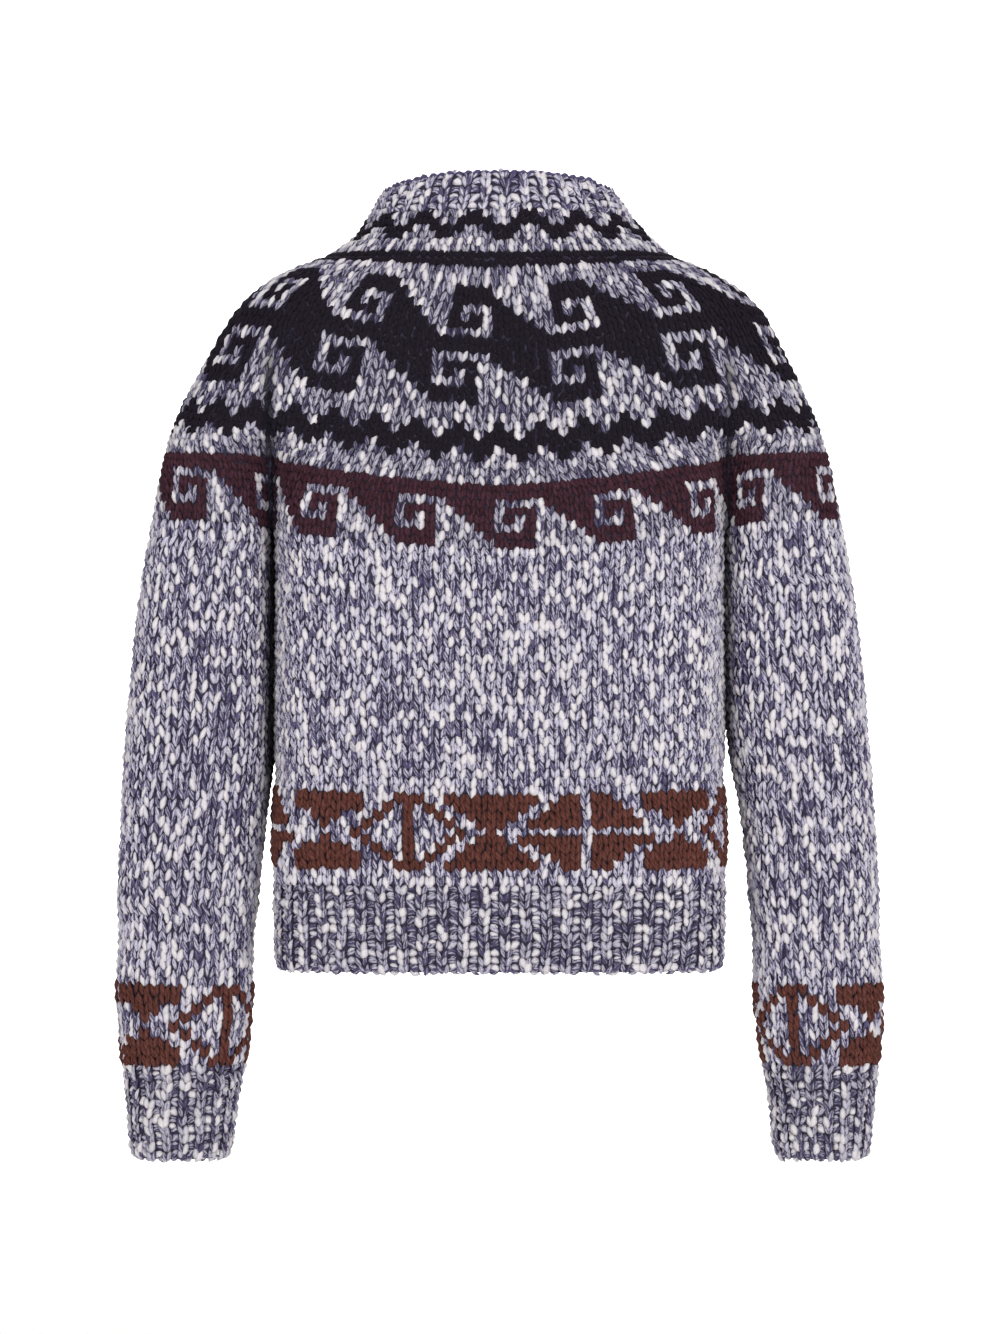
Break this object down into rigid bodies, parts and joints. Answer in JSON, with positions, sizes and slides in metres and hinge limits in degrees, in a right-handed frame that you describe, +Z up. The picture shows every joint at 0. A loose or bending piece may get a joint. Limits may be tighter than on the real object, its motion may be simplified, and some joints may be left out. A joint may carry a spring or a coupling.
{
  "type": "pullover sweater",
  "caption": "Chunky knitted pullover with a round patterned yoke, ribbed neck, hem and cuffs, hollow and filled out as if worn.",
  "frame": {"origin": "between the shoulders, at the height of the neck's base", "axes": "+Z up, -Y out of the garment's back, +X towards the wearer's right sleeve"},
  "size_m": [0.5526, 0.1856, 0.7065],
  "materials": {
    "marl_wool": "matte",
    "patterned_wool": "matte"
  },
  "bodies": {
    "root": {"body": "marl_wool", "hem_rib": "marl_wool", "sleeve_left": "marl_wool", "sleeve_right": "marl_wool", "cuff_left": "marl_wool", "cuff_right": "marl_wool", "yoke": "patterned_wool", "collar": "marl_wool"}
  },
  "joints": []
}
